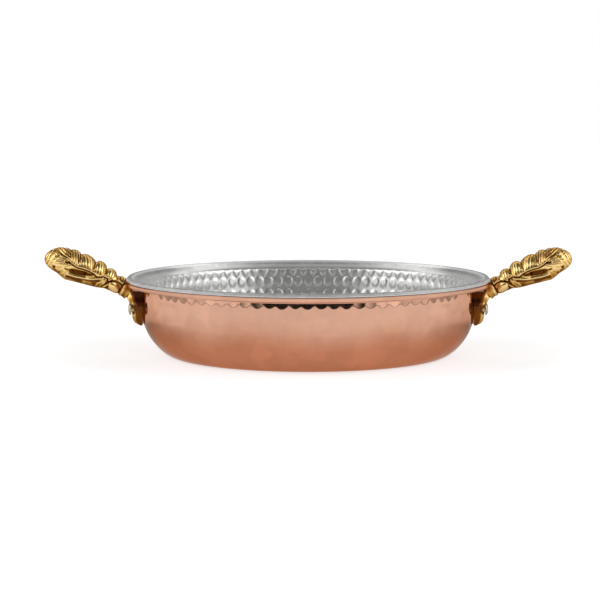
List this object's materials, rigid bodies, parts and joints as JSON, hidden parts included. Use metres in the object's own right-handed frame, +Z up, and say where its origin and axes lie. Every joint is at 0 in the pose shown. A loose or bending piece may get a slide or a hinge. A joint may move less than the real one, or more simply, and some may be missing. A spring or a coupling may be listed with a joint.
{
  "type": "two-handled copper pan",
  "caption": "Shallow round copper pan with a tinned, hammered inside, a flared lip and two cast brass leaf handles riveted to its wall.",
  "frame": {"origin": "middle of the flat base, on the surface that the pan rests on", "axes": "+Z up out of the bowl; +X towards the right handle; +Y away from the viewer, level with the rim"},
  "size_m": [0.319, 0.22, 0.0652],
  "materials": {
    "copper": "polished copper sheet, planished, hammer marks round the neck",
    "tin": "wiped tin, hammered in rows of small oval dimples, satin bright",
    "brass": "cast brass, polished high spots, dark brown in the hollows",
    "rivet": "pale brass rivet, domed and lightly worn"
  },
  "bodies": {
    "root": {"pan_body": "copper", "tin_lining": "tin", "left_handle": "brass", "right_handle": "brass", "left_front_rivet": "rivet", "left_back_rivet": "rivet", "right_front_rivet": "rivet", "right_back_rivet": "rivet"}
  },
  "joints": []
}
